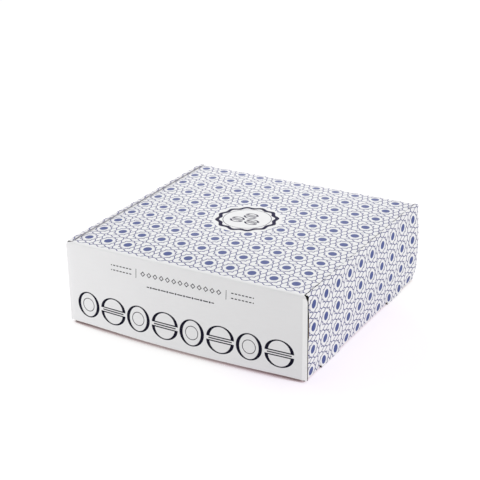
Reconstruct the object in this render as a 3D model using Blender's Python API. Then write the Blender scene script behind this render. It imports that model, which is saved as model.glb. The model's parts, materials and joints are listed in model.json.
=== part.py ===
"""Shut pastry carton folded from one sheet of white corrugated board.

The lid is hinged on the back wall, lies between the rolled side walls and ends in
a front flap that hangs over the front wall. The flap's free lower edge bows out and
ends a little above the ground.
Units are metres, +Z is up and the front is towards -Y. The origin is the middle of
the whole carton's footprint, on the plane that it stands on.
"""

import math

import bmesh
import bpy


# Driving dimensions of the carton
WIDTH = 0.205
DEPTH = 0.195
HEIGHT = 0.0675
BOARD = 0.0015

# Folds and the lid's crown
FOLD_RADIUS = 0.0018
BASE_FOLD_RADIUS = 0.0008
LID_CROWN = 0.0024
CROWN_POWER_ACROSS = 2.7
CROWN_POWER_ALONG = 5

# Front flap
FLAP_BOW = 0.006
FLAP_GAP = 0.0008
FLAP_FOOT = 0.0031
FLAP_FREE_TOP = 0.0032
FLAP_CORNER_WIDTH = 0.0022
FLAP_CORNER_HEIGHT = 0.0034

# Side walls: rolled double at the top, drawn in towards the base, spread at the back end
ROLLED_STRIP = 2 * BOARD + 0.0001
SEAM_WIDTH = 0.0007
SEAM_DEPTH = 0.0016
SEAM_END = 0.003
WALL_DRAW_IN = 0.0024
DRAW_IN_HEIGHT = 0.0405
WALL_SPREAD = 0.0024
SPREAD_FOOT = 0.01
SPREAD_POWER_UP = 4
SPREAD_POWER_ALONG = 12

# Straight stretches at the foot of each side wall, as distances from the front
LOCK_STRETCHES = ((0.025, 0.056), (0.1415, 0.168))
LOCK_HEIGHT = 0.008
LOCK_PROUD = 0.0013
LOCK_THICKNESS = 0.004
LOCK_OVERLAP = 0.0003
NOTCH_LENGTH = 0.0012
NOTCH_HEIGHT = 0.0022
NOTCH_DEPTH = 0.0016

# Mesh fineness: arc angles from a face's edge to the corner, and inner divisions
ARC_ANGLES = (0.0, 22.5, 45.0)
DIVISIONS_X = 14
DIVISIONS_Y = 12
DIVISIONS_Z = 7
GAP_DIVISIONS_X = 15
GAP_DIVISIONS_Z = 6

# Places that follow from the dimensions
HALF_WIDTH = WIDTH / 2
BACK_Y = (DEPTH + FLAP_BOW) / 2
FRONT_Y = BACK_Y - DEPTH
MIDDLE_Y = (FRONT_Y + BACK_Y) / 2
FLAP_BACK_Y = FRONT_Y + BOARD
FLAP_TOP = HEIGHT - FOLD_RADIUS
TRAY_FRONT_Y = FLAP_BACK_Y + FLAP_GAP
GAP_MIDDLE_Y = (FLAP_BACK_Y + TRAY_FRONT_Y) / 2
FLAP_ZONE_Y = (FRONT_Y + FOLD_RADIUS + GAP_MIDDLE_Y) / 2
LID_HALF_WIDTH = HALF_WIDTH - ROLLED_STRIP - SEAM_WIDTH
OVERSHOOT = 0.002

BOARD_COLOUR = (0.84, 0.85, 0.87, 1.0)


def clear_scene():
    """Remove whatever objects the scene starts with."""
    for item in list(bpy.data.objects):
        bpy.data.objects.remove(item, do_unlink=True)


def board_material():
    """White coated paperboard."""
    material = bpy.data.materials.new("white_board")
    material.use_nodes = True
    shader = material.node_tree.nodes["Principled BSDF"]
    shader.inputs["Base Color"].default_value = BOARD_COLOUR
    shader.inputs["Roughness"].default_value = 0.55
    shader.inputs["Metallic"].default_value = 0.0
    return material


def spread(low, high, divisions):
    """Evenly spaced places from low to high."""
    return [low + (high - low) * step / divisions for step in range(divisions + 1)]


def stations(low, high, divisions, low_radius=FOLD_RADIUS):
    """Places along one side of a box, closer together inside its rounded ends."""
    ends = [1 - math.tan(math.radians(angle)) for angle in reversed(ARC_ANGLES[1:])]
    middle = spread(low + low_radius, high - FOLD_RADIUS, divisions)
    low_end = [low + low_radius * end for end in ends]
    return low_end + middle + [high - FOLD_RADIUS * end for end in reversed(ends)]


def gridded_box(name, xs, ys, zs, place):
    """A closed box with a grid on each side, each grid point moved by place(x, y, z)."""
    mesh_data = bmesh.new()
    points = {}
    counts = (len(xs), len(ys), len(zs))

    def point(index):
        if index not in points:
            x, y, z = xs[index[0]], ys[index[1]], zs[index[2]]
            points[index] = mesh_data.verts.new(place(x, y, z))
        return points[index]

    for axis in range(3):
        first, second = (axis + 1) % 3, (axis + 2) % 3
        for end in (0, counts[axis] - 1):
            for i in range(counts[first] - 1):
                for j in range(counts[second] - 1):
                    corners = []
                    for step_i, step_j in ((0, 0), (1, 0), (1, 1), (0, 1)):
                        index = [0, 0, 0]
                        index[axis] = end
                        index[first] = i + step_i
                        index[second] = j + step_j
                        corners.append(point(tuple(index)))
                    if end == 0:
                        corners.reverse()
                    mesh_data.faces.new(corners)

    mesh = bpy.data.meshes.new(name)
    mesh_data.to_mesh(mesh)
    mesh_data.free()
    made = bpy.data.objects.new(name, mesh)
    bpy.context.collection.objects.link(made)
    return made


def on_fold(across, up):
    """Carry a point of a square edge onto its fold: both are distances past the fold's centre."""
    if across <= 0 or up <= 0:
        return across, up
    factor = max(across, up) / math.hypot(across, up)
    return across * factor, up * factor


def folded_edge(place, limit, z):
    """Round the upper and lower edge of a wall whose outer face is at plus or minus limit."""
    side = math.copysign(1, place)
    if z > HEIGHT / 2:
        centre = limit - FOLD_RADIUS
        across, up = on_fold(abs(place) - centre, z - (HEIGHT - FOLD_RADIUS))
        return side * (centre + across), HEIGHT - FOLD_RADIUS + up
    centre = limit - BASE_FOLD_RADIUS
    across, down = on_fold(abs(place) - centre, BASE_FOLD_RADIUS - z)
    return side * (centre + across), BASE_FOLD_RADIUS - down


def rounded(x, y, z, in_flap):
    """Round the sheet's folds. The walls' upright edges are cut ones and stay square."""
    depth_from_middle, z_folded = folded_edge(y - MIDDLE_Y, DEPTH / 2, z)
    if in_flap:
        return (x, y, z) if z < HEIGHT / 2 else (x, MIDDLE_Y + depth_from_middle, z_folded)
    x, z = folded_edge(x, HALF_WIDTH, z_folded)
    return x, MIDDLE_Y + depth_from_middle, z


def flap_bow(x, z):
    """How far the flap stands out in front of the folded front edge."""
    across = 1 - (x / HALF_WIDTH) ** 2
    down = min(1.0, (z - FLAP_FOOT) / (FLAP_TOP - FLAP_FOOT))
    return FLAP_BOW * across * (1 - down)


def flap_height(z):
    """The height on the flap for a height on the plain box, whose foot is on the ground."""
    if z > FLAP_TOP:
        return z
    return FLAP_FOOT + z * (FLAP_TOP - FLAP_FOOT) / FLAP_TOP


def wall_lean(y, z):
    """How far a side wall stands outside its top fold; it is negative where it is drawn in."""
    drawn_in = WALL_DRAW_IN * (1 - min(1.0, z / DRAW_IN_HEIGHT)) ** 2
    along = ((y - FRONT_Y) / DEPTH) ** SPREAD_POWER_ALONG
    upwards = min(1.0, z / SPREAD_FOOT) * (1 - (z / HEIGHT) ** SPREAD_POWER_UP)
    return WALL_SPREAD * along * upwards - drawn_in


def lid_crown(x, y):
    """How far the lid's panel rises above its edges."""
    across = min(1.0, abs(x) / LID_HALF_WIDTH)
    along = min(1.0, abs(y - MIDDLE_Y) / (DEPTH / 2 - FOLD_RADIUS))
    return LID_CROWN * (1 - across ** CROWN_POWER_ACROSS) * (1 - along ** CROWN_POWER_ALONG)


def carton_point(x, y, z):
    """Where a grid point of the plain box lies on the carton."""
    in_flap = y < FLAP_ZONE_Y
    on_top = z == HEIGHT
    x, y, z = rounded(x, y, z, in_flap)
    if on_top:
        z += lid_crown(x, y)
    if in_flap:
        z = flap_height(z)
        return x, y - flap_bow(x, z), z
    if on_top:
        return x, y, z
    return x * (1 + wall_lean(y, z) / HALF_WIDTH), y, z


def carton_block():
    """The carton's outer form, before the gaps between its panels are cut."""
    ys = stations(FRONT_Y, BACK_Y, DIVISIONS_Y)
    ys.insert(len(ARC_ANGLES), GAP_MIDDLE_Y)
    return gridded_box(
        "carton",
        stations(-HALF_WIDTH, HALF_WIDTH, DIVISIONS_X),
        ys,
        stations(0.0, HEIGHT, DIVISIONS_Z, BASE_FOLD_RADIUS),
        carton_point,
    )


def as_tool(tool):
    """Mark an object as a cutter or filler that isn't itself a piece."""
    tool.hide_render = True
    tool.display_type = "WIRE"
    return tool


def plain_box(name, low, high):
    """A tool in the form of an upright box between two corners."""
    return as_tool(gridded_box(
        name,
        (low[0], high[0]),
        (low[1], high[1]),
        (low[2], high[2]),
        lambda x, y, z: (x, y, z),
    ))


def prism(name, ends):
    """A tool between two outlines of (x, z) points, each given with its place along Y."""
    mesh_data = bmesh.new()
    rings = [[mesh_data.verts.new((x, y, z)) for x, z in outline] for y, outline in ends]
    mesh_data.faces.new(rings[0])
    mesh_data.faces.new(list(reversed(rings[1])))
    for index in range(len(rings[0])):
        after = (index + 1) % len(rings[0])
        mesh_data.faces.new((rings[0][after], rings[0][index], rings[1][index], rings[1][after]))
    bmesh.ops.recalc_face_normals(mesh_data, faces=mesh_data.faces)
    mesh = bpy.data.meshes.new(name)
    mesh_data.to_mesh(mesh)
    mesh_data.free()
    made = bpy.data.objects.new(name, mesh)
    bpy.context.collection.objects.link(made)
    return as_tool(made)


def combine(target, name, tools, operation):
    """Join a group of tools onto the carton, or cut them from it, in one step."""
    group = bpy.data.collections.new(name)
    bpy.context.scene.collection.children.link(group)
    for tool in tools:
        bpy.context.collection.objects.unlink(tool)
        group.objects.link(tool)
    modifier = target.modifiers.new(name, "BOOLEAN")
    modifier.operation = operation
    modifier.solver = "EXACT"
    modifier.operand_type = "COLLECTION"
    modifier.collection = group


def flap_gap_tool():
    """The free space behind the flap: a thin slit that widens with the bow."""
    reach = HALF_WIDTH + OVERSHOOT
    xs = spread(-reach, reach, GAP_DIVISIONS_X)
    zs = spread(-OVERSHOOT, HEIGHT - FLAP_FREE_TOP, GAP_DIVISIONS_Z)

    def gap_point(x, y, z):
        bow = flap_bow(x, z) if y == FLAP_BACK_Y else 0.0
        return x, y - bow, z

    return as_tool(gridded_box("flap_gap", xs, (FLAP_BACK_Y, TRAY_FRONT_Y), zs, gap_point))


def flap_corner_tool(side):
    """The slanting cut at one of the flap's upper corners."""
    edge = side * HALF_WIDTH
    inner = side * (HALF_WIDTH - FLAP_CORNER_WIDTH)
    outer = side * (HALF_WIDTH + OVERSHOOT)
    low = HEIGHT - FLAP_CORNER_HEIGHT
    high = HEIGHT + OVERSHOOT
    outline = ((inner, high), (inner, HEIGHT), (edge, low), (outer, low), (outer, high))
    ends = ((FRONT_Y - FLAP_BOW - OVERSHOOT, outline), (FLAP_ZONE_Y, outline))
    return prism(f"flap_corner_{side}", ends)


def lid_seam_tool(side):
    """The seam between the lid and the rolled top of one side wall."""
    edges = sorted((side * (HALF_WIDTH - ROLLED_STRIP), side * LID_HALF_WIDTH))
    low = (edges[0], FRONT_Y + SEAM_END, HEIGHT - SEAM_DEPTH)
    high = (edges[1], BACK_Y - SEAM_END, HEIGHT + OVERSHOOT)
    return plain_box(f"lid_seam_{side}", low, high)


def stretch_foot(y):
    """How far from the middle a straight stretch of side wall meets the ground."""
    return HALF_WIDTH + wall_lean(y, 0.0) + LOCK_PROUD


def lock_stretch_tool(side, number, start, end):
    """A stretch of side wall that comes straight down to the base, without a fold."""
    ends = []
    for y in (FRONT_Y + start, FRONT_Y + end):
        top_x = HALF_WIDTH + wall_lean(y, LOCK_HEIGHT) - LOCK_OVERLAP
        inner_x = stretch_foot(y) - LOCK_THICKNESS
        ends.append((y, (
            (side * inner_x, LOCK_OVERLAP),
            (side * stretch_foot(y), 0.0),
            (side * top_x, LOCK_HEIGHT),
            (side * inner_x, LOCK_HEIGHT),
        )))
    return prism(f"lock_{side}_{number}", ends)


def notch_tool(side, number, start):
    """The cut at the front end of a straight stretch."""
    foot_x = stretch_foot(FRONT_Y + start)
    edges = sorted((side * (foot_x - NOTCH_DEPTH), side * (HALF_WIDTH + OVERSHOOT)))
    low = (edges[0], FRONT_Y + start - NOTCH_LENGTH / 2, -OVERSHOOT)
    high = (edges[1], FRONT_Y + start + NOTCH_LENGTH / 2, NOTCH_HEIGHT)
    return plain_box(f"notch_{side}_{number}", low, high)


def main():
    clear_scene()
    carton = carton_block()
    carton.data.materials.append(board_material())
    stretches = []
    cuts = [flap_gap_tool()]
    for side in (-1, 1):
        cuts += [flap_corner_tool(side), lid_seam_tool(side)]
        for number, (start, end) in enumerate(LOCK_STRETCHES):
            stretches.append(lock_stretch_tool(side, number, start, end))
            cuts.append(notch_tool(side, number, start))
    combine(carton, "stretches", stretches, "UNION")
    combine(carton, "cuts", cuts, "DIFFERENCE")


main()
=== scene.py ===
"""Looks of a shut pastry carton: printed white corrugated board, folded and rolled.

It is laid out as an add-on: one operator for each group of pieces and one for the
stage. Run as a script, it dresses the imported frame. Lengths are metres, +Z is up and
the front is towards -Y, as in the frame.
"""

import functools
import json
import math

import bmesh
import bpy
from bpy.props import FloatProperty, FloatVectorProperty, PointerProperty
from mathutils import Matrix, Vector, noise

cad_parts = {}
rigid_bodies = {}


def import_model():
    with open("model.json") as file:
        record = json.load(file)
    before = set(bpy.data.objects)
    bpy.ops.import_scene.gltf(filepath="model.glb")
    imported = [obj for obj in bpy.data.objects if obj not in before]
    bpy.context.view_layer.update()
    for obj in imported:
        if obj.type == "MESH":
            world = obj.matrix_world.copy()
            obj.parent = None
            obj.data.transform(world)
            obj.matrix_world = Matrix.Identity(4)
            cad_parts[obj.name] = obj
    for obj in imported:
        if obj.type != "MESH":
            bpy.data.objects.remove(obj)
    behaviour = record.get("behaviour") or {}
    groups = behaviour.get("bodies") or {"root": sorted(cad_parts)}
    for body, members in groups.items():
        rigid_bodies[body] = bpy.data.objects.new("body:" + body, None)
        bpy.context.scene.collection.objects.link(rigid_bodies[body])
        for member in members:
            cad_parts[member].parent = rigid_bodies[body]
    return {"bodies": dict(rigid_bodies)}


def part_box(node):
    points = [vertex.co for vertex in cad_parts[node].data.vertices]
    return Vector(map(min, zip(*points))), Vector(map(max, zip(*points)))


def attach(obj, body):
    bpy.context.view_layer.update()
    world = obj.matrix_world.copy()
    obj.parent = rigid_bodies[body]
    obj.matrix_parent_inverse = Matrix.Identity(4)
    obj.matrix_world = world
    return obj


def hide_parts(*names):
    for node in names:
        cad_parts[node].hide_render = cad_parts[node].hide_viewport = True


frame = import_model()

bl_info = {
    "name": "Shut pastry carton",
    "version": (1, 0, 0),
    "blender": (4, 5, 0),
    "location": "View3D > Sidebar > Carton",
    "description": "Makes a folded, printed pastry carton and a pale studio round it",
    "category": "Add Mesh",
}

CARTON_NODE = "carton"
CARTON_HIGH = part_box(CARTON_NODE)[1]
BODY = sorted(frame["bodies"])[0]
PRINT_MAP = "print"
ACROSS_BOARD = "across_board"
MM = 0.001
TURN = 2 * math.pi


def paint(red, green, blue):
    """A display colour, 0 to 255 a channel, as linear light."""
    shares = (channel / 255 for channel in (red, green, blue))
    return tuple(
        share / 12.92 if share <= 0.04045 else ((share + 0.055) / 1.055) ** 2.4
        for share in shares
    )


def number(name, default, description, unit="NONE", precision=4):
    """A property that holds a number."""
    return FloatProperty(
        name=name, description=description, default=default, unit=unit, precision=precision
    )


def length(name, default, description):
    """A property that holds a length in metres."""
    return number(name, default, description, "LENGTH", 5)


def angle(name, degrees, description):
    """A property that holds an angle, given in degrees."""
    return number(name, math.radians(degrees), description, "ROTATION")


def colour(name, default, description):
    """A property that holds a colour as linear light."""
    return FloatVectorProperty(
        name=name,
        description=description,
        default=default,
        subtype="COLOR",
        size=3,
        min=0.0,
        max=1.0,
    )


class CartonSizes(bpy.types.PropertyGroup):
    """Sizes of the carton and its board."""

    width: length("Width", 0.205, "Between the top folds of the side walls")
    depth: length("Depth", 0.195, "From the front fold to the back wall")
    height: length("Height", 0.0675, "From the base to the lid's folds")
    board: length("Board", 0.0015, "Thickness of the corrugated board")
    fold_radius: length("Fold radius", 0.0018, "Outer radius of a scored fold")
    base_fold: length("Base fold", 0.0009, "Outer radius of a side wall's fold at the base")
    flap_bow: length("Flap bow", 0.00598, "How far the flap's lower edge bows out")
    flap_gap: length("Flap gap", 0.0008, "Space between the flap and the front wall")
    flap_foot: length("Flap foot", 0.0031, "Height of the flap's edge above the ground")
    flap_droop: length("Flap droop", 0.0013, "How far the flap's corners hang below that")
    corner_left: length("Left corner", 0.0009, "Width cut from the flap's left top corner")
    corner_right: length("Right corner", 0.0014, "Width cut from the right top corner")
    corner_height: length("Corner height", 0.0034, "Height cut from the top corners")
    roll_left: length("Left roll", 0.0043, "Width of the left wall's rolled top")
    roll_right: length("Right roll", 0.0031, "Width of the right wall's rolled top")
    roll_radius: length("Roll radius", 0.00155, "Outer radius of a roll's outer fold")
    roll_proud: length("Roll proud", 0.0007, "How far the left roll stands above the lid")
    inner_fold: length("Inner fold", 0.0005, "Outer radius of the roll's fold at the lid")
    seam_left: length("Left seam", 0.0003, "Gap between the lid and the left roll")
    seam_right: length("Right seam", 0.00006, "Gap between the lid and the right roll")
    seam_front: length("Seam front", 0.00035, "How much wider both gaps are at the front")
    wall_draw_in: length("Wall draw-in", 0.0024, "How far a side wall's foot is drawn in")
    draw_in_height: length("Draw-in height", 0.0405, "Height above which a wall is upright")
    wall_spread: length("Wall spread", 0.0024, "How far a side wall's back end stands out")
    spread_foot: length("Spread foot", 0.01, "Height below which the spread fades out")
    lock_height: length("Lock height", 0.008, "Height of a straight stretch of wall")
    lock_proud: length("Lock proud", 0.0013, "How far its foot stands out of the fold")
    notch_length: length("Notch length", 0.0012, "Length of the cut at its front end")
    notch_height: length("Notch height", 0.0022, "Height of that cut")
    crush_width: length("Crush width", 0.0034, "Width of board crushed along a cut edge")
    crush_depth: length("Crush depth", 0.0006, "How far the crushed edge is pressed in")
    unevenness: length("Unevenness", 0.00018, "How far the board's faces wander")
    grid_step: length("Grid step", 0.0026, "Largest face on the sheets")


class CartonColours(bpy.types.PropertyGroup):
    """Colours of the paper, its inks, and the shade and highlight painted on them."""

    paper: colour("Paper", paint(229, 229, 230), "Coated white paper")
    # Lighter paper along the flap's right edge: the crushed fibres' paler tone and a painted
    # highlight where the side light falls on the crushed band
    rubbed_highlight: colour("Rubbed paper", paint(246, 246, 246), "Paper along the flap's crushed edges")
    kraft: colour("Kraft", paint(168, 138, 108), "Brown paper inside the board")
    edge: colour("Cut edge", paint(118, 102, 86), "Brown of the board's cut edges")
    # Painted shade, near black, in the gap beside the flap and in the right wall's seam
    gap_shade_colour: colour("Deep edge", paint(12, 10, 9), "The flap's cut edge near its fold")
    seam_shade: colour("Seam shade", paint(138, 136, 148), "Dark of the fold beside the lid")
    dot_ink: colour("Dot ink", paint(61, 75, 134), "Blue of the dots")
    line_ink: colour("Line ink", paint(62, 65, 122), "Dark blue of the thin lines")
    badge_ink: colour("Badge ink", paint(42, 38, 66), "Dark indigo of the badge")
    front_ink: colour("Front ink", paint(8, 5, 30), "Navy of the front's print")


class PrintSizes(bpy.types.PropertyGroup):
    """Places and sizes of the print. Along means from the front fold to the back."""

    lid_pitch_across: length("Lid pitch across", 0.01774, "Between dots, side to side")
    lid_pitch_along: length("Lid pitch along", 0.01907, "Between dots, front to back")
    lid_dot_across: length("Lid dot across", -0.0912, "First dot, from the middle")
    lid_dot_along: length("Lid dot along", 0.0149, "First dot, from the front fold")
    wall_pitch_along: length("Wall pitch along", 0.01927, "Between dots on a side wall")
    wall_pitch_up: length("Wall pitch up", 0.0177, "Between a side wall's dots, upwards")
    wall_dot_along: length("Wall dot along", 0.0102, "First dot, from the front fold")
    wall_dot_up: length("Wall dot up", 0.0049, "Lowest dot, from the base")
    front_margin: length("Front margin", 0.003, "White strip behind the front fold")
    badge_across: length("Badge across", -0.0005, "Badge's centre, from the middle")
    badge_along: length("Badge along", 0.0983, "Badge's centre, from the front fold")
    badge_radius: length("Badge radius", 0.0245, "Outer radius of the badge")
    badge_margin: length("Badge margin", 0.0272, "Radius of the white round the badge")


class StageSizes(bpy.types.PropertyGroup):
    """Camera, floor and light."""

    azimuth: angle("Azimuth", 30.228, "Camera's turn from the front, towards +X")
    elevation: angle("Elevation", 23.212, "Camera's height above the horizon")
    roll: angle("Roll", -0.866, "Camera's tilt about its own line of sight")
    distance: length("Distance", 0.9955, "From the camera to the point it looks at")
    target_x: length("Target X", -0.00493, "Point the camera looks at")
    target_y: length("Target Y", -0.00025, "Point the camera looks at")
    target_z: length("Target Z", 0.05249, "Point the camera looks at")
    lens: number("Lens", 95.33, "Focal length in millimetres on a 36 mm sensor")
    sky: number("Sky", 0.78, "Strength of the white surroundings")
    sky_slope: number("Sky slope", 0.69, "How much brighter the back of the sky is")
    overhead: number("Overhead", 5.05, "Power of the light above, in watts")
    side_light: number("Side light", 5.2, "Power of the light on the right, in watts")
    fill_light: number("Fill light", 1.18, "Power of the light on the left, in watts")
    back_light: number("Back light", 0.3, "Power of the low light behind the lid, in watts")
    floor_size: length("Floor size", 24.0, "Side of the floor's square")
    floor_glow: number("Floor glow", 0.78, "Light that the open floor gives by itself")
    shade_reach: length("Shade reach", 0.012, "How far the carton takes the floor's glow away")


class Places:
    """Places on the carton that follow from its sizes."""

    def __init__(self, sizes):
        self.sizes = sizes
        self.half_width = sizes.width / 2
        self.back_y = CARTON_HIGH.y - FIT_CLEARANCE
        self.front_y = self.back_y - sizes.depth
        self.middle_y = (self.front_y + self.back_y) / 2
        self.tray_front_y = self.front_y + sizes.board + sizes.flap_gap
        self.crown = CARTON_HIGH.z - sizes.height
        self.lid_half_width = self.half_width - sizes.roll_right
        self.foot_x = self.half_width - sizes.wall_draw_in
        self.panel_inset = sizes.board + 2 * FIT_CLEARANCE

    def wall_lean(self, y, z):
        """How far a side wall stands outside its top fold, less than 0 where drawn in."""
        sizes = self.sizes
        z = max(0.0, z)
        drawn_in = sizes.wall_draw_in * (1 - min(1.0, z / sizes.draw_in_height)) ** 2
        along = ((y - self.front_y) / sizes.depth) ** SPREAD_POWER_ALONG
        high = min(1.0, z / sizes.height) ** SPREAD_POWER_UP
        upwards = min(1.0, z / sizes.spread_foot) * (1 - high)
        return sizes.wall_spread * along * upwards - drawn_in


# The sheets' outlines and bends, beyond the sizes above. Lengths are metres
FIT_CLEARANCE = 0.0001
BASE_STRIP = 0.002
ROLL_STRIP = 0.0034
PROUD_RUN = 0.009
WALL_STEP = 0.006
SPREAD_POWER_UP = 4
SPREAD_POWER_ALONG = 12
DROOP_POWER = 8
CRUSH_SLOPE = 0.72
LID_CRUSH_SHARE = 0.3
FOLD_FADE = 15
CROWN_POWER_ACROSS = 2.7
CROWN_POWER_ALONG = 5
LID_CRUSH_FADE = 4
LID_WANDER_FADE = 2
FOLD_STEPS = (-1.0, -0.66, -0.33, 0.0, 0.33, 0.66, 1.0)
STRIP_EDGE_STEPS = (0.25, 0.5, 0.75, 1.0)
WALL_EDGE_STEPS = (0.33, 0.66, 1.0)
STEP_ROUNDING = 0.01
INNER_PANEL_FOOT = 0.004
STRETCH_FOOT = 0.0003
SEAM_RUN = 0.04
SHARP_ANGLE = math.radians(38)
WANDER_SIZE = 0.055

# The straight stretches of a side wall's foot, as distances from the front fold
LOCK_STRETCHES = ((0.025, 0.056), (0.1415, 0.168))

# How far a side wall's front end stands back, by height
FRONT_GAP = ((0.026, 0.0), (0.036, 0.0017), (0.052, 0.0017), (0.062, 0.0))


def interpolate(outline, place):
    """The value at one place along an outline of (place, value) points."""
    if place <= outline[0][0]:
        return outline[0][1]
    for (low, at_low), (high, at_high) in zip(outline, outline[1:]):
        if place <= high:
            return at_low + (at_high - at_low) * (place - low) / (high - low)
    return outline[-1][1]


def stations(marks, step):
    """Places from the lowest mark to the highest, through every mark."""
    marks = sorted(set(marks))
    places = [marks[0]]
    for low, high in zip(marks, marks[1:]):
        count = max(1, math.ceil((high - low) / step - STEP_ROUNDING))
        places += [low + (high - low) * index / count for index in range(1, count + 1)]
    return places


def fold_marks(fold, radius):
    """Marks round one fold, close enough together for its arc."""
    return [fold + radius * share for share in FOLD_STEPS]


def flat_sheet(us, vs):
    """A flat grid with its lines at the given places."""
    sheet = bmesh.new()
    columns, rows = len(us) - 1, len(vs) - 1
    bmesh.ops.create_grid(sheet, x_segments=columns, y_segments=rows, size=0.5)
    for point in sheet.verts:
        point.co.x = us[round((point.co.x + 0.5) * columns)]
        point.co.y = vs[round((point.co.y + 0.5) * rows)]
    return sheet


def along_folds(corners, radii, place):
    """A point on a strip folded at each inner corner, and which run it is on.

    The place counts along the sharp-cornered path. Round a corner, the stretch within
    the radius on either side becomes a quarter turn.
    """
    start = 0.0
    last = len(corners) - 2
    for run, (here, there) in enumerate(zip(corners, corners[1:])):
        forward = (there - here).normalized()
        end = start + (there - here).length
        if run < last:
            radius = radii[run]
            if place > end - radius:
                onward = (corners[run + 2] - there).normalized()
                if place <= end + radius:
                    turn = (place - end + radius) / (2 * radius) * math.pi / 2
                    centre = there - forward * radius + onward * radius
                    bent = centre - onward * radius * math.cos(turn)
                    return bent + forward * radius * math.sin(turn), run
                start = end
                continue
        return here + forward * (place - start), run
    raise ValueError("the place lies beyond the strip")


def crush(sizes, distance):
    """How far the board is pressed in at a distance from a cut edge, level next to it."""
    share = (1 - distance / sizes.crush_width) / CRUSH_SLOPE
    share = min(1.0, max(0.0, share))
    return sizes.crush_depth * share * share * (3 - 2 * share)


def wander(sizes, x, y, z):
    """A slow rise and fall of the board's face, from 0 inwards."""
    return sizes.unevenness * (0.5 + 0.5 * noise.noise(Vector((x, y, z)) / WANDER_SIZE))


def place_object(name, data):
    """A new object in the scene that shows some data."""
    thing = bpy.data.objects.new(name, data)
    bpy.context.scene.collection.objects.link(thing)
    return thing


def set_print_map(sheet, flat_places):
    """Give each corner its flat place on the sheet, in metres, as its UV."""
    layer = sheet.loops.layers.uv.new(PRINT_MAP)
    for face in sheet.faces:
        for corner in face.loops:
            corner[layer].uv = flat_places[corner.vert]


def board_piece(name, sheet, sizes, materials):
    """Make a folded sheet a piece of board: outer paper, inner paper and cut edges."""
    mesh = bpy.data.meshes.new(name)
    sheet.to_mesh(mesh)
    sheet.free()
    outer_count = len(mesh.vertices)
    for material in materials:
        mesh.materials.append(material)
    piece = place_object(name, mesh)
    thickness = piece.modifiers.new("board", "SOLIDIFY")
    thickness.thickness = sizes.board
    thickness.offset = -1
    thickness.use_even_offset = True
    thickness.material_offset = 1
    thickness.material_offset_rim = 2
    solid = piece.evaluated_get(bpy.context.evaluated_depsgraph_get())
    board = bpy.data.meshes.new_from_object(solid)
    piece.modifiers.clear()
    piece.data = board
    board.name = name
    bpy.data.meshes.remove(mesh)
    across = board.attributes.new(ACROSS_BOARD, "FLOAT", "POINT")
    inner_count = len(board.vertices) - outer_count
    across.data.foreach_set("value", [0.0] * outer_count + [1.0] * inner_count)
    board.shade_smooth()
    board.set_sharp_from_angle(angle=SHARP_ANGLE)
    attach(piece, BODY)
    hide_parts(CARTON_NODE)


def strip_outlines(places):
    """Half widths of the strip on its left and right, as outlines along the strip."""
    sizes = places.sizes
    flap_edge = places.half_width - FIT_CLEARANCE
    lid_left = places.half_width - sizes.roll_left - sizes.seam_left
    lid_right = places.half_width - sizes.roll_right - sizes.seam_right
    back_foot = sizes.depth + sizes.height
    base_front = back_foot + places.back_y - places.tray_front_y
    base_edge = places.foot_x - BASE_STRIP - FIT_CLEARANCE
    between_walls = places.half_width - sizes.board - FIT_CLEARANCE
    heights = stations((sizes.fold_radius, sizes.height - sizes.corner_height), WALL_STEP)
    tray = [
        (back_foot - z, between_walls + places.wall_lean(places.back_y, z))
        for z in reversed(heights)
    ]
    tray.append((back_foot + sizes.fold_radius, base_edge))
    tray.append((base_front - sizes.fold_radius, base_edge))
    tray += [
        (base_front + z, between_walls + places.wall_lean(places.tray_front_y, z))
        for z in heights
    ]
    outlines = []
    for lid_edge, corner in ((lid_left, sizes.corner_left), (lid_right, sizes.corner_right)):
        flap_and_lid = [
            (-sizes.corner_height, flap_edge),
            (0.0, flap_edge - corner),
            (sizes.fold_radius, lid_edge - sizes.seam_front),
            (SEAM_RUN, lid_edge),
            (sizes.depth, lid_edge),
        ]
        outlines.append(flap_and_lid + tray)
    return outlines


def make_folded_sheet(sizes, materials):
    """The strip that is flap, lid, back wall, base and front wall."""
    places = Places(sizes)
    flap_length = sizes.height - sizes.flap_foot
    front_wall_top = sizes.height - 2 * sizes.board - FIT_CLEARANCE
    corners = (
        (places.front_y, sizes.flap_foot),
        (places.front_y, sizes.height),
        (places.back_y, sizes.height),
        (places.back_y, 0.0),
        (places.tray_front_y, 0.0),
        (places.tray_front_y, front_wall_top),
    )
    corners = [Vector(corner) for corner in corners]
    radii = [sizes.fold_radius] * 4
    folds = [0.0, sizes.depth, sizes.depth + sizes.height]
    folds.append(folds[-1] + places.back_y - places.tray_front_y)
    marks = [-flap_length, -sizes.corner_height, folds[-1] + front_wall_top]
    marks += [sizes.depth + sizes.corner_height, -flap_length + sizes.crush_width]
    for fold in folds:
        marks += fold_marks(fold, sizes.fold_radius)
    edge_band = sizes.crush_width / places.half_width
    fractions = [-1.0, 1.0]
    for share in STRIP_EDGE_STEPS:
        fractions += [1 - edge_band * share, edge_band * share - 1]
    us = stations(fractions, sizes.grid_step / places.half_width)
    left, right = strip_outlines(places)
    sheet = flat_sheet(us, stations(marks, sizes.grid_step))
    flat_places = {}
    for point in sheet.verts:
        fraction, v = point.co.x, point.co.y
        half_width = interpolate(left if fraction < 0 else right, v)
        x = fraction * half_width
        flat_places[point] = (x, v)
        (y, z), run = along_folds(corners, radii, v + flap_length)
        edge = half_width - abs(x)
        point.co = strip_point(places, run, x, y, z, edge)
    set_print_map(sheet, flat_places)
    board_piece("folded_sheet", sheet, sizes, materials)


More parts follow.
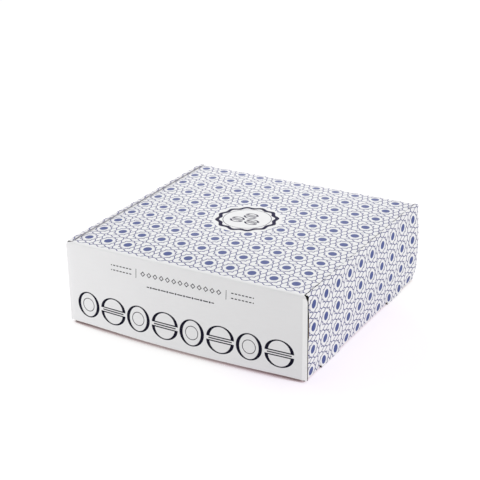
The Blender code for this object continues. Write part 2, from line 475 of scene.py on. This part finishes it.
def strip_point(places, run, x, y, z, edge):
    """Move a point of the folded strip for the crown, the bow and the board's wear."""
    sizes = places.sizes
    if y < places.tray_front_y - sizes.flap_gap and run == 0:
        flap_top = sizes.height - sizes.fold_radius
        up = min(1.0, (z - sizes.flap_foot) / (flap_top - sizes.flap_foot))
        bow = sizes.flap_bow * (1 - (x / places.half_width) ** 2) * (1 - up)
        pressed = crush(sizes, edge) * min(1.0, (1 - up) * FOLD_FADE)
        pressed += wander(sizes, x, 0.0, z) * (1 - up * up)
        droop = sizes.flap_droop * abs(x / places.half_width) ** DROOP_POWER * (1 - up)
        return x, y - bow + pressed, z - droop
    if run <= 1 and z > sizes.height - sizes.fold_radius:
        across = min(1.0, abs(x) / places.lid_half_width)
        reach = sizes.depth / 2 - sizes.fold_radius
        along = min(1.0, abs(y - places.middle_y) / reach)
        across_share = 1 - across ** CROWN_POWER_ACROSS
        along_share = 1 - along ** CROWN_POWER_ALONG
        crown = places.crown * across_share * along_share
        pressed = crush(sizes, edge) * LID_CRUSH_SHARE * min(1.0, along_share * LID_CRUSH_FADE)
        pressed += wander(sizes, x, y, 0.0) * min(1.0, along_share * LID_WANDER_FADE)
        return x, y, z + crown - pressed
    return x, y, z


def roll_size(sizes, side):
    """Width of a side wall's rolled top, and how far it stands above the lid."""
    if side < 0:
        return sizes.roll_left, sizes.roll_proud
    return sizes.roll_right, 0.0


def wall_ends(places, panel_top):
    """Front and back end of a side wall's sheet, as outlines up the sheet."""
    inset = places.panel_inset
    front = [(up, places.tray_front_y + stand_back) for up, stand_back in FRONT_GAP]
    front += [(panel_top, places.tray_front_y), (panel_top + inset, places.tray_front_y + inset)]
    back_end = places.back_y - 2 * FIT_CLEARANCE
    back = [(panel_top, back_end), (panel_top + inset, places.back_y - inset)]
    return front, back


def cut_stretches(sheet, places):
    """Cut a wall's straight stretches free of its base fold; returns their free points."""
    sizes = places.sizes
    tiny = FIT_CLEARANCE / 10

    def within(face, low, high, top):
        centre = face.calc_center_median()
        return low < centre.x < high and centre.y < top

    free = set()
    for start, end in LOCK_STRETCHES:
        low, high = places.front_y + start, places.front_y + end
        notch = sizes.notch_length / 2
        doomed = [
            face
            for face in sheet.faces
            if within(face, low - notch, low + notch, sizes.notch_height)
            or within(face, low + notch, high, 0.0)
        ]
        bmesh.ops.delete(sheet, geom=doomed, context="FACES")
        inside = {face for face in sheet.faces if within(face, low, high, sizes.lock_height)}
        border = [
            edge
            for edge in sheet.edges
            if len(edge.link_faces) == 2
            and (edge.link_faces[0] in inside) != (edge.link_faces[1] in inside)
            and max(point.co.y for point in edge.verts) < sizes.notch_height + tiny
            and abs(edge.verts[0].co.x - edge.verts[1].co.x) < tiny
        ]
        bmesh.ops.split_edges(sheet, edges=border)
        for face in inside:
            free.update(p for p in face.verts if p.co.y < sizes.lock_height - tiny)
    return free


def make_side_wall(side, name, sizes, materials):
    """One side wall: base strip, outer wall, rolled top and inner panel."""
    places = Places(sizes)
    roll_width, proud = roll_size(sizes, side)
    corners = (
        (places.foot_x - BASE_STRIP, 0.0),
        (places.foot_x, 0.0),
        (places.foot_x, sizes.height),
        (places.foot_x - roll_width, sizes.height),
        (places.foot_x - roll_width, INNER_PANEL_FOOT),
    )
    corners = [Vector(corner) for corner in corners]
    radii = [sizes.base_fold, sizes.roll_radius, sizes.inner_fold]
    roll_end = sizes.height + roll_width
    marks = [-BASE_STRIP, 0.0, sizes.notch_height, sizes.lock_height]
    panel_top = roll_end + ROLL_STRIP
    marks += [panel_top, panel_top + places.panel_inset]
    marks += [roll_end + sizes.height - INNER_PANEL_FOOT]
    marks += fold_marks(0.0, sizes.base_fold)
    marks += fold_marks(sizes.height, sizes.roll_radius)
    marks += fold_marks(roll_end, sizes.inner_fold)
    front, back = wall_ends(places, panel_top)
    along = [places.tray_front_y, places.back_y]
    for share in WALL_EDGE_STEPS:
        along.append(places.tray_front_y + sizes.crush_width * share)
        along.append(places.back_y - sizes.crush_width * share)
    for start, end in LOCK_STRETCHES:
        notch = sizes.notch_length / 2
        along += [places.front_y + start + offset for offset in (-notch, 0.0, notch)]
        along.append(places.front_y + end)
    sheet = flat_sheet(stations(along, sizes.grid_step), stations(marks, sizes.grid_step))
    free = cut_stretches(sheet, places)
    flat_places = {}
    for point in sheet.verts:
        v = point.co.y
        low, high = interpolate(front, v), interpolate(back, v)
        y = min(max(point.co.x, low), high)
        flat_places[point] = (y - places.front_y, v)
        edge = min(y - low, high - y)
        if point in free:
            x, z = stretch_point(places, y, v)
        else:
            (x, z), run = along_folds(corners, radii, v + BASE_STRIP)
            x += wall_shift(places, run, y, z, edge)
            z += proud * min(1.0, edge / PROUD_RUN) * min(1.0, z / sizes.height)
        point.co = (side * x, y, z)
    set_print_map(sheet, flat_places)
    if side < 0:
        bmesh.ops.reverse_faces(sheet, faces=sheet.faces)
    board_piece(name, sheet, sizes, materials)


def stretch_point(places, y, v):
    """A point of a straight stretch, which comes down from the wall to the ground."""
    sizes = places.sizes
    top_x = places.half_width + places.wall_lean(y, sizes.lock_height)
    foot_x = places.half_width + places.wall_lean(y, 0.0) + sizes.lock_proud
    share = v / sizes.lock_height
    return foot_x + (top_x - foot_x) * share, v + STRETCH_FOOT * (1 - share)


def wall_shift(places, run, y, z, edge):
    """How far outwards a point of a side wall moves from the upright above its foot."""
    sizes = places.sizes
    outward = sizes.wall_draw_in + places.wall_lean(y, z)
    if run > 1 or z > sizes.height - sizes.roll_radius:
        return outward
    flat = min(1.0, z / sizes.lock_height) * min(1.0, (sizes.height - z) / sizes.lock_height)
    return outward - (crush(sizes, edge) + wander(sizes, 0.0, y, z)) * flat


# Width of the print's soft edges, in millimetres
SOFT = 0.07


def feed(node, inputs):
    """Link or set a node's inputs, each to a field, a socket, a number or a colour."""
    for key, value in inputs.items():
        value = value.socket if isinstance(value, Field) else value
        if isinstance(value, bpy.types.NodeSocket):
            node.id_data.links.new(value, node.inputs[key])
        elif isinstance(value, (int, float)):
            node.inputs[key].default_value = value
        else:
            node.inputs[key].default_value = (*value, 1.0)


class Field:
    """A number that varies over a surface, worked out by math nodes."""

    def __init__(self, socket):
        self.tree = socket.id_data
        self.socket = socket

    def math(self, operation, *others, clamp=False):
        """A math node that starts from this number."""
        node = self.tree.nodes.new("ShaderNodeMath")
        node.operation = operation
        node.use_clamp = clamp
        feed(node, dict(enumerate((self, *others))))
        return Field(node.outputs[0])

    def __add__(self, other):
        return self.math("ADD", other)

    def __sub__(self, other):
        return self.math("SUBTRACT", other)

    def __mul__(self, other):
        return self.math("MULTIPLY", other)

    both = __mul__

    def __abs__(self):
        return self.math("ABSOLUTE")

    def wrapped(self, pitch):
        """The distance to the nearest of a row of places, a pitch apart."""
        return self.math("WRAP", pitch / 2, -pitch / 2)

    def cosine(self):
        return self.math("COSINE")

    def reach(self, other):
        """The distance from the middle of two distances at right angles."""
        return (self * self + other * other).math("SQRT")

    def from_line(self, other, start, end):
        """The distance of the point (this, other) from a straight line between two points."""
        run = end[0] - start[0], end[1] - start[1]
        squared = run[0] ** 2 + run[1] ** 2
        past, over = self - start[0], other - start[1]
        share = (past * (run[0] / squared) + over * (run[1] / squared)).math("ADD", 0.0, clamp=True)
        return (past - share * run[0]).reach(over - share * run[1])

    def below(self, limit, soft=SOFT):
        """1 where this is smaller than the limit and 0 where it is larger."""
        return self.math("MULTIPLY_ADD", -1 / soft, limit / soft + 0.5, clamp=True)

    def above(self, limit, soft=SOFT):
        """1 where this is larger than the limit."""
        return self.math("MULTIPLY_ADD", 1 / soft, 0.5 - limit / soft, clamp=True)

    def either(self, other):
        return self.math("MAXIMUM", other)

    def nearer(self, other):
        return self.math("MINIMUM", other)

    def without(self, other):
        return self.math("SUBTRACT", other, clamp=True)


# The print, in millimetres on the flat sheet
DOT_RADIUS = 3.25
RING_RADIUS = 5.6
RING_WIDTH = 0.42
RING_STRENGTH = 0.55
LINE_WIDTH = 0.74
RAGGED_END = 1.2
FLAP_START = -2.0
# The lighter band along the flap's right edge: crushed fibres' paler tone and a painted highlight
# from the side light
RUBBED_HIGHLIGHT_WIDTH = 3.6
RUBBED_HIGHLIGHT_FADE = 0.9
RUBBED_HIGHLIGHT_STRENGTH = 0.8

# The seams' shade: its width on the roll and the share of it that never breaks off
SEAM_SHADE_LEFT = (0.35, 0.7)
SEAM_SHADE_RIGHT = (0.65, 0.0)
SEAM_SHADE_OVER = 0.7
SEAM_SHADE_SOFT = 0.1

# The flap's row of biscuits, in pairs of a side view and a round one
BISCUIT_PAIR = 47.0
BISCUIT_ROW = 48.0
BISCUIT_THICK = 2.7
BISCUIT_THIN = 0.9
SIDE_VIEW_PLACE = 10.9
SIDE_VIEW_SIZE = (11.4, 9.4)
ROUND_VIEW_PLACE = -12.8
ROUND_VIEW_RADIUS = 10.4
CREAM_SHARE = 0.84
CREAM_GAP = 1.5
INNER_RING_SHARE = 0.6

# The small ornaments above them
SMALL_STROKE = 0.8
DIVIDER = (38.2, 38.65)
DIVIDER_ROWS = (8.8, 16.0)
LOZENGE_PITCH = 5.4
LOZENGE_SIZE = 1.7
LOZENGE_ROW = 11.8
LOZENGES_END = 35.0
DASH_PITCH = 2.9
DASH_REACH = 0.95
DASHES = (41.8, 60.9)
DASH_ROWS = (12.1, 1.9)
RULE_PITCH = 7.2
RULE_REACH = 2.2
RULE_ROW = 21.0
RULE_END = 28.8
RULE_DOT = 0.75
RULE_DOTS_END = 26.0

# The badge: places and widths of its ring and line, counted in from its rim
BADGE_LOBES = 12
BADGE_SCALLOP = 1.0
BADGE_RING = (2.1, 3.2)
BADGE_LINE = (5.6, 0.44)
BADGE_BISCUIT = (5.6, 3.9, 1.84, 0.805)
BADGE_PAIR = (6.4, -4.2)
BADGE_SINGLE = 6.4

# A rosette's lines in one eighth of its square, as shares of the pitch from its dot
ROSETTE_LINES = (
    ((0.375, 0.0), (0.375, 0.0625)),
    ((0.375, 0.0625), (0.27, 0.155)),
    ((0.27, 0.155), (0.27, 0.27)),
    ((0.375, 0.0625), (0.5, 0.24)),
    ((0.5, 0.24), (0.5, 0.396)),
    ((0.5, 0.396), (0.448, 0.448)),
)


def stroke(distance, width):
    """1 on a line of some width, from the distance to its middle."""
    return abs(distance).below(width / 2)


def print_lattice(across, along, pitch_across, pitch_along, patterned, colours):
    """Inks of dots, each in a thin ring and a rosette of lines that meets its neighbours."""
    a = across.wrapped(pitch_across)
    b = along.wrapped(pitch_along)
    reach = a.reach(b)
    dots = reach.below(DOT_RADIUS)
    ring = stroke(reach - RING_RADIUS, RING_WIDTH)
    a_share, b_share = abs(a) * (1 / pitch_across), abs(b) * (1 / pitch_along)
    far, near = a_share.either(b_share), a_share.nearer(b_share)
    gap = functools.reduce(Field.nearer, (far.from_line(near, *line) for line in ROSETTE_LINES))
    lines = stroke(gap * ((pitch_across + pitch_along) / 2), LINE_WIDTH)
    lines = lines.either(ring * RING_STRENGTH)
    return (
        (lines.both(patterned), colours.line_ink, GLOSSY),
        (dots.both(patterned), colours.dot_ink, GLOSSY),
    )


def print_oval(across, up, half_width, half_height):
    """1 inside an oval round the middle."""
    reach = (across * (1 / half_width)).reach(up * (1 / half_height))
    return reach.below(1.0, SOFT / half_height)


def print_side_view(across, up, half_width, shell_height, thick, thin):
    """A filled biscuit seen from the side: two domes, thick at their sides, and cream."""
    level = abs(up) - thin * CREAM_GAP
    shell = print_oval(across, level, half_width, shell_height).both(level.above(0.0))
    hollow = print_oval(across, level, half_width - thick, shell_height - thin)
    hollow = hollow.both(level.above(thin))
    cream = stroke(up, thin).both(abs(across).below(half_width * CREAM_SHARE))
    return shell.without(hollow).either(cream)


def print_round_view(across, up, radius, thick, thin):
    """A biscuit seen from above: a ring that is thick at its sides, with a thin one inside."""
    ring = print_oval(across, up, radius, radius)
    ring = ring.without(print_oval(across, up, radius - thick, radius - thin))
    return ring.either(stroke(across.reach(up) - radius / 2, thin * INNER_RING_SHARE))


def band(place, low, high):
    """1 where a place lies between two others."""
    return stroke(place - (low + high) / 2, high - low)


def small_ornaments(across, down):
    """Two thin dividers, lozenges between them, dashes beside them and a dotted rule."""
    sideways = abs(across)
    dividers = band(sideways, *DIVIDER).both(band(down, *DIVIDER_ROWS))
    outline = abs(across.wrapped(LOZENGE_PITCH)) + abs(down - LOZENGE_ROW) - LOZENGE_SIZE
    lozenges = stroke(outline, SMALL_STROKE).both(sideways.below(LOZENGES_END))
    dashes = abs(across.wrapped(DASH_PITCH)).below(DASH_REACH).both(band(sideways, *DASHES))
    between, spread = DASH_ROWS
    dashes = dashes.both(stroke(abs(down - between) - spread, SMALL_STROKE))
    along_rule = abs(across.wrapped(RULE_PITCH))
    rule = along_rule.below(RULE_REACH).both(sideways.below(RULE_END))
    rule = rule.both(stroke(down - RULE_ROW, SMALL_STROKE))
    dots = (along_rule - RULE_PITCH / 2).reach(down - RULE_ROW).below(RULE_DOT)
    dots = dots.both(sideways.below(RULE_DOTS_END))
    return dividers.either(lozenges).either(dashes).either(rule).either(dots)


def front_print(across, down):
    """A row of biscuits in navy, with small ornaments above it.

    Across counts from the middle of the flap, and down from its fold.
    """
    strokes = BISCUIT_THICK, BISCUIT_THIN
    row = (across + BISCUIT_PAIR / 2).wrapped(BISCUIT_PAIR)
    up = down * -1.0 + BISCUIT_ROW
    side_view = print_side_view(row - SIDE_VIEW_PLACE, up, *SIDE_VIEW_SIZE, *strokes)
    round_view = print_round_view(row - ROUND_VIEW_PLACE, up, ROUND_VIEW_RADIUS, *strokes)
    biscuits = side_view.either(round_view).both(abs(across).below(2 * BISCUIT_PAIR))
    return biscuits.either(small_ornaments(across, down))


def badge_print(across, along, radius):
    """A ring with a gently scalloped edge round a thin line and three small biscuits."""
    scallop = (along.math("ARCTAN2", across) * BADGE_LOBES).cosine() * BADGE_SCALLOP
    reach = across.reach(along)
    ring = stroke(reach - scallop - (radius - BADGE_RING[0]), BADGE_RING[1])
    thin = stroke(reach - (radius - BADGE_LINE[0]), BADGE_LINE[1])
    pair = print_side_view(abs(across) - BADGE_PAIR[0], along - BADGE_PAIR[1], *BADGE_BISCUIT)
    single = print_side_view(across, along - BADGE_SINGLE, *BADGE_BISCUIT)
    return ring.either(thin).either(pair).either(single)


def new_material(name):
    """A material with an empty tree but for its shader and output."""
    material = bpy.data.materials.new(name)
    material.use_nodes = True
    tree = material.node_tree
    return material, tree, tree.nodes["Principled BSDF"]


def mix_colour(tree, share, first, second):
    """A colour between two others. Each is a socket or a colour."""
    node = tree.nodes.new("ShaderNodeMix")
    node.data_type = "RGBA"
    node.clamp_factor = True
    feed(node, {"Factor": share, 6: first, 7: second})
    return node.outputs[2]


def darker(paper, share):
    """A darker tone of a colour."""
    return tuple(channel * share for channel in paper)


def noise_field(tree, scale, detail, roughness=0.5):
    """Even noise about one half, in the object's own space."""
    place = tree.nodes.new("ShaderNodeTexCoord")
    node = tree.nodes.new("ShaderNodeTexNoise")
    feed(node, {"Scale": scale, "Detail": detail, "Roughness": roughness})
    feed(node, {"Vector": place.outputs["Object"]})
    return Field(node.outputs["Fac"])


def add_bump(shader, height, distance):
    """Give a shader's surface relief from a height."""
    node = shader.id_data.nodes.new("ShaderNodeBump")
    feed(node, {"Distance": distance, "Strength": 1.0, "Height": height})
    feed(shader, {"Normal": node.outputs["Normal"]})


def parts(tree, vector):
    """The X, Y and Z of a vector, as fields."""
    split = tree.nodes.new("ShaderNodeSeparateXYZ")
    feed(split, {"Vector": vector})
    return [Field(output) for output in split.outputs]


def flat_place(tree):
    """The place on the flat sheet in millimetres, as two fields."""
    node = tree.nodes.new("ShaderNodeUVMap")
    node.uv_map = PRINT_MAP
    return [part * (1 / MM) for part in parts(tree, node.outputs["UV"])[:2]]


# The board's flutes and cut edges. Lengths along a sheet are in millimetres
FLUTE_PITCH = 3.2
FLUTE_REACH = 0.34
FLUTE_PAPER = (0.1, 0.06)
LINER_START = (0.37, 0.05)
# Painted shade in the open hollows between the flutes, as a share of the edge's brown
PAINTED_PORE_SHADE = 0.06
CORE_SHADE = 0.5
# Painted shade in the gap beside the flap: heights in millimetres over which it deepens, and its
# reach from a side wall's front end
GAP_SHADE_HEIGHTS = (9.5, 35.5)
FRONT_END = 4.0

# Gloss of the sheets, and what the inks add to the paper's roughness
STRIP_GLOSS = 0.2
WALL_GLOSS = 0.12
GLOSSY = -0.1
MATTE = 0.4

# Scales of the noise in the papers, and how much of it shows
PAPER_GRAIN = 2600.0
PAPER_MOTTLE = 60.0
RAGGED_GRAIN = 500.0
SEAM_GRAIN = 190.0
KRAFT_GRAIN = 900.0
EDGE_GRAIN = 1500.0
FIBRE_ROUGHNESS = 0.7
PAPER_SHADE = 0.965
KRAFT_SHADE = 0.72
PAPER_ROUGHNESS = 0.44
KRAFT_ROUGHNESS = 0.85
EDGE_ROUGHNESS = 0.9
ROUGH_GRAIN = 0.12
GRAIN_RELIEF = 0.25
FLUTE_RELIEF = 0.35
MOTTLE_RELIEF = 0.6
PAPER_RELIEF = 0.00004
KRAFT_RELIEF = 0.00008
EDGE_RELIEF = 0.0002


def printed_paper(name, colours, draw, gloss):
    """Coated white paper with inks, painted shade and a painted highlight that the draw function
    places.
    """
    material, tree, shader = new_material(name)
    across, along = flat_place(tree)
    mottle = noise_field(tree, PAPER_MOTTLE, 3)
    grain = noise_field(tree, PAPER_GRAIN, 2)
    surface = mix_colour(tree, mottle, darker(colours.paper, PAPER_SHADE), colours.paper)
    rough = grain * ROUGH_GRAIN + PAPER_ROUGHNESS
    for mask, ink_or_painted_light, rougher in draw(across, along):
        surface = mix_colour(tree, mask, surface, ink_or_painted_light)
        rough = rough + mask * rougher
    feed(shader, {"Base Color": surface, "Roughness": rough, "Specular IOR Level": gloss})
    flutes = (along * (TURN / FLUTE_PITCH)).cosine()
    relief = grain * GRAIN_RELIEF + flutes * FLUTE_RELIEF + mottle * MOTTLE_RELIEF
    add_bump(shader, relief, PAPER_RELIEF)
    return material


def kraft_paper(colours):
    """Brown inner liner with darker fibres."""
    material, tree, shader = new_material("kraft_paper")
    fibres = noise_field(tree, KRAFT_GRAIN, 4, FIBRE_ROUGHNESS)
    surface = mix_colour(tree, fibres, darker(colours.kraft, KRAFT_SHADE), colours.kraft)
    feed(shader, {"Base Color": surface, "Roughness": KRAFT_ROUGHNESS})
    add_bump(shader, fibres, KRAFT_RELIEF)
    return material


def gap_shade_share(height):
    """How dark the painted shade in the gap beside the flap is at a height, from 0 near its foot to
    1.
    """
    low, high = GAP_SHADE_HEIGHTS
    return height.above((low + high) / 2, high - low)


def cut_edge(colours, name, gap_shade):
    """The board's cut edge: two liners, and between them the waves of the fluting, with painted
    shade in the hollows and deep in the gap beside the flap.
    """
    material, tree, shader = new_material(name)
    across, along = flat_place(tree)
    node = tree.nodes.new("ShaderNodeAttribute")
    node.attribute_name = ACROSS_BOARD
    depth = Field(node.outputs["Fac"])
    wave = (along * (TURN / FLUTE_PITCH)).cosine() * FLUTE_REACH + 0.5
    solid = abs(depth - 0.5).above(*LINER_START).either(abs(depth - wave).below(*FLUTE_PAPER))
    fibres = noise_field(tree, EDGE_GRAIN, 3, FIBRE_ROUGHNESS)
    core = mix_colour(tree, fibres, darker(colours.edge, CORE_SHADE), colours.edge)
    # Painted shade in the hollows between the liners and the fluting
    board = mix_colour(tree, solid, darker(colours.edge, PAINTED_PORE_SHADE), core)
    # Painted shade where the edge lies deep in the gap beside the flap
    gap_shaded = mix_colour(tree, gap_shade(across, along), board, colours.gap_shade_colour)
    feed(shader, {"Base Color": gap_shaded, "Roughness": EDGE_ROUGHNESS})
    add_bump(shader, solid, EDGE_RELIEF)
    return material


def board_materials(name, colours, draw, gloss, gap_shade):
    """Outer paper, inner paper and cut edge of one sheet."""
    return (
        printed_paper(f"{name}_print", colours, draw, gloss),
        kraft_paper(colours),
        cut_edge(colours, f"{name}_cut_edge", gap_shade),
    )


def strip_print(sizes, prints, colours):
    """The draw function of the folded strip."""
    margin = prints.front_margin / MM
    pattern_end = (sizes.depth + sizes.height) / MM

    def draw(across, along):
        from_badge = across - prints.badge_across / MM
        past_badge = along - prints.badge_along / MM
        clear = from_badge.reach(past_badge).above(prints.badge_margin / MM)
        ragged = (noise_field(across.tree, RAGGED_GRAIN, 2) - 0.5) * RAGGED_END
        lattice = print_lattice(
            across - prints.lid_dot_across / MM,
            along - prints.lid_dot_along / MM,
            prints.lid_pitch_across / MM,
            prints.lid_pitch_along / MM,
            band(along + ragged, margin, pattern_end).both(clear),
            colours,
        )
        badge = badge_print(from_badge, past_badge, prints.badge_radius / MM)
        on_flap = along.below(FLAP_START)
        front = front_print(across, along * -1.0).both(on_flap)
        # Crushed paper and a painted highlight along the flap's right edge only, the side that
        # faces the side light
        rubbed_highlight = across.above(sizes.width / 2 / MM - RUBBED_HIGHLIGHT_WIDTH, RUBBED_HIGHLIGHT_FADE).both(on_flap)
        return (
            (rubbed_highlight * RUBBED_HIGHLIGHT_STRENGTH, colours.rubbed_highlight, MATTE),
            *lattice,
            (badge, colours.badge_ink, MATTE),
            (front, colours.front_ink, MATTE),
        )

    return draw


def wall_print(side, sizes, prints, colours):
    """The draw function of a side wall, with broken shade in the seam at its roll."""
    printed_end = (sizes.height + roll_size(sizes, side)[0]) / MM
    # Painted shade in the seam beside the lid: grey and mostly whole on the left, near black and
    # broken on the right
    painted_seam_shade = colours.seam_shade if side < 0 else colours.gap_shade_colour
    shade_width, unbroken = SEAM_SHADE_LEFT if side < 0 else SEAM_SHADE_RIGHT

    def draw(along, up):
        lattice = print_lattice(
            along - prints.wall_dot_along / MM,
            up - prints.wall_dot_up / MM,
            prints.wall_pitch_along / MM,
            prints.wall_pitch_up / MM,
            band(up, 0.0, printed_end),
            colours,
        )
        broken = noise_field(along.tree, SEAM_GRAIN, 2).above(0.5, SEAM_SHADE_SOFT)
        shade = band(up, printed_end - shade_width, printed_end + SEAM_SHADE_OVER)
        shade = shade.both(broken * (1 - unbroken) + unbroken)
        return *lattice, (shade, painted_seam_shade, MATTE)

    return draw


class CARTON_OT_folded_sheet(bpy.types.Operator):
    """Make the strip that is flap, lid, back wall, base and front wall"""

    bl_idname = "carton.folded_sheet"
    bl_label = "Folded sheet"

    def execute(self, context):
        scene = context.scene
        sizes, colours = scene.carton_sizes, scene.carton_colours

        # Painted shade on the flap's cut edge, deepening up towards its fold
        def gap_shade(_across, along):
            return gap_shade_share(along + sizes.height / MM).both(along.below(0.0))

        draw = strip_print(sizes, scene.carton_print, colours)
        materials = board_materials("strip", colours, draw, STRIP_GLOSS, gap_shade)
        make_folded_sheet(sizes, materials)
        return {"FINISHED"}


class CARTON_OT_side_walls(bpy.types.Operator):
    """Make the two rolled side walls"""

    bl_idname = "carton.side_walls"
    bl_label = "Side walls"

    def execute(self, context):
        scene = context.scene
        sizes, colours = scene.carton_sizes, scene.carton_colours

        # Painted shade on a side wall's front end, in the gap behind the flap
        def gap_shade(along, up):
            return gap_shade_share(up).both(along.below(FRONT_END))

        for side, name in ((-1, "left"), (1, "right")):
            draw = wall_print(side, sizes, scene.carton_print, colours)
            materials = board_materials(f"{name}_wall", colours, draw, WALL_GLOSS, gap_shade)
            make_side_wall(side, f"side_wall_{name}", sizes, materials)
        return {"FINISHED"}


# The camera's sensor in millimetres, and the distances that it sees
SENSOR_WIDTH = 36.0
NEAREST, FARTHEST = 0.01, 100.0

# Place, point it faces and size of each light, under the name of its power
LIGHTS = {
    "overhead": ((-0.1, 0.15, 1.4), (0, 0, 0), 1.2),
    "side_light": ((1.5, 0.1, 0.28), (0, 0, 0.03), 0.9),
    "fill_light": ((-0.42, -0.5, 0.12), (-0.05, 0, 0.03), 0.3),
    "back_light": ((-0.22, 0.45, 0.26), (0, 0.06, 0.07), 0.3),
}


def make_camera(stage):
    """A camera turned round the target, with a slight roll."""
    data = bpy.data.cameras.new("camera")
    data.lens = stage.lens
    data.sensor_width = SENSOR_WIDTH
    data.clip_start = NEAREST
    data.clip_end = FARTHEST
    camera = place_object("camera", data)
    target = Matrix.Translation((stage.target_x, stage.target_y, stage.target_z))
    turn = Matrix.Rotation(stage.azimuth, 4, "Z")
    turn @= Matrix.Rotation(math.pi / 2 - stage.elevation, 4, "X")
    turn @= Matrix.Rotation(stage.roll, 4, "Z")
    camera.matrix_world = target @ turn @ Matrix.Translation((0.0, 0.0, stage.distance))
    bpy.context.scene.camera = camera


def make_area_light(name, place, towards, size, power):
    """A soft square light that faces a point."""
    data = bpy.data.lights.new(name, "AREA")
    data.size = size
    data.energy = power
    light = place_object(name, data)
    facing = Vector(towards) - Vector(place)
    turn = facing.to_track_quat("-Z", "Y").to_matrix().to_4x4()
    light.matrix_world = Matrix.Translation(place) @ turn


def make_sky(stage):
    """White surroundings that are brighter behind the carton than in front of it."""
    world = bpy.data.worlds.new("studio")
    world.use_nodes = True
    tree = world.node_tree
    facing = tree.nodes.new("ShaderNodeTexCoord")
    backwards = parts(tree, facing.outputs["Generated"])[1]
    strength = backwards * (stage.sky * stage.sky_slope) + stage.sky
    feed(tree.nodes["Background"], {"Color": (1.0, 1.0, 1.0), "Strength": strength})
    return world


# The floor: its glow, with painted shadow under the carton's front, painted light beside its right
# side and a painted lilac shadow at the right
FLOOR_DROP = 0.0001
FLOOR_LOOKS = {
    "Base Color": (0.28, 0.27, 0.27),
    "Roughness": 0.9,
    "Specular IOR Level": 0.1,
}
FLOOR_EDGE = 0.006
OPEN_SHARE = (3.1, -0.8)
MIDDLE_SHADE = 0.3
MIDDLE_REACH = 0.8
SHADE_COLOURS = ((0.0, (0.09, 0.03, 0.03)), (0.5, (0.56, 0.45, 0.45)), (1.0, (1.0, 1.0, 1.0)))
LILAC_SHADOW = (0.97, 0.92, 1.0)
LILAC_SHADOW_PLACE = (0.09, -0.03)
LILAC_SHADOW_RADIUS = 0.085
LILAC_SHADOW_SOFT = 0.03


def make_floor(stage):
    """A plain white floor that fills the view."""
    sheet = bmesh.new()
    bmesh.ops.create_grid(sheet, x_segments=1, y_segments=1, size=stage.floor_size / 2)
    for point in sheet.verts:
        point.co.z = -FLOOR_DROP
    mesh = bpy.data.meshes.new("floor")
    sheet.to_mesh(mesh)
    sheet.free()
    floor = place_object("floor", mesh)
    mesh.materials.append(floor_material(stage))


def floor_material(stage):
    """White that glows, with painted shadow under the carton's front, painted light beside its
    right side and a painted lilac shadow near it.
    """
    material, tree, shader = new_material("floor_white")
    node = tree.nodes.new("ShaderNodeTexCoord")
    x, y, _ = parts(tree, node.outputs["Object"])
    # Painted light: beside the carton's right side the floor keeps its full glow, as if the side
    # light fell there
    right = x.above(CARTON_HIGH.x - FLOOR_EDGE, FLOOR_EDGE)
    # Painted shadow: the glow fades where the carton hides the floor, more under the flap's middle
    # than at its corners
    hidden = tree.nodes.new("ShaderNodeAmbientOcclusion")
    hidden.samples = 16
    feed(hidden, {"Distance": stage.shade_reach})
    sideways = x * (1 / (CARTON_HIGH.x * MIDDLE_REACH))
    middle = (sideways * sideways).math("MULTIPLY_ADD", MIDDLE_SHADE, -MIDDLE_SHADE)
    seen = Field(hidden.outputs["AO"]).math("MULTIPLY_ADD", *OPEN_SHARE)
    seen = seen.math("ADD", middle, clamp=True)
    shade = tree.nodes.new("ShaderNodeValToRGB")
    shade.color_ramp.elements.new(0.5)
    for stop, (place, shade_colour) in zip(shade.color_ramp.elements, SHADE_COLOURS):
        stop.position = place
        stop.color = (*shade_colour, 1.0)
    feed(shade, {"Fac": seen.either(right)})
    # Painted lilac shadow round the carton's right front
    far = (x - LILAC_SHADOW_PLACE[0]).reach(y - LILAC_SHADOW_PLACE[1]).above(LILAC_SHADOW_RADIUS, LILAC_SHADOW_SOFT)
    lilac_shadow = mix_colour(tree, far, LILAC_SHADOW, (1.0, 1.0, 1.0))
    glow = mix_colour(tree, 1.0, shade.outputs["Color"], lilac_shadow)
    glow.node.blend_type = "MULTIPLY"
    feed(shader, {**FLOOR_LOOKS, "Emission Color": glow, "Emission Strength": stage.floor_glow})
    return material


class CARTON_OT_stage(bpy.types.Operator):
    """Make the floor, the lights and the camera"""

    bl_idname = "carton.stage"
    bl_label = "Stage"

    def execute(self, context):
        stage = context.scene.carton_stage
        make_floor(stage)
        context.scene.world = make_sky(stage)
        for name, (place, towards, size) in LIGHTS.items():
            make_area_light(name, place, towards, size, getattr(stage, name))
        make_camera(stage)
        context.scene.view_settings.view_transform = "Standard"
        return {"FINISHED"}


class CARTON_PT_panel(bpy.types.Panel):
    """Sizes, colours and buttons of the carton"""

    bl_label = "Carton"
    bl_idname = "CARTON_PT_panel"
    bl_space_type = "VIEW_3D"
    bl_region_type = "UI"
    bl_category = "Carton"

    def draw(self, context):
        layout = self.layout
        for operator in OPERATORS:
            layout.operator(operator.bl_idname)
        for name in GROUPS:
            box = layout.box()
            group = getattr(context.scene, name)
            for entry in group.bl_rna.properties:
                if not entry.is_readonly and entry.identifier != "name":
                    box.prop(group, entry.identifier)


GROUPS = {
    "carton_sizes": CartonSizes,
    "carton_colours": CartonColours,
    "carton_print": PrintSizes,
    "carton_stage": StageSizes,
}
OPERATORS = (CARTON_OT_folded_sheet, CARTON_OT_side_walls, CARTON_OT_stage)
CLASSES = (*GROUPS.values(), *OPERATORS, CARTON_PT_panel)


def register():
    for item in CLASSES:
        bpy.utils.register_class(item)
    for name, group in GROUPS.items():
        setattr(bpy.types.Scene, name, PointerProperty(type=group))


def unregister():
    for name in GROUPS:
        delattr(bpy.types.Scene, name)
    for item in reversed(CLASSES):
        bpy.utils.unregister_class(item)


def main():
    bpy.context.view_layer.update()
    register()
    bpy.ops.carton.folded_sheet()
    bpy.ops.carton.side_walls()
    bpy.ops.carton.stage()


if __name__ == "__main__":
    main()
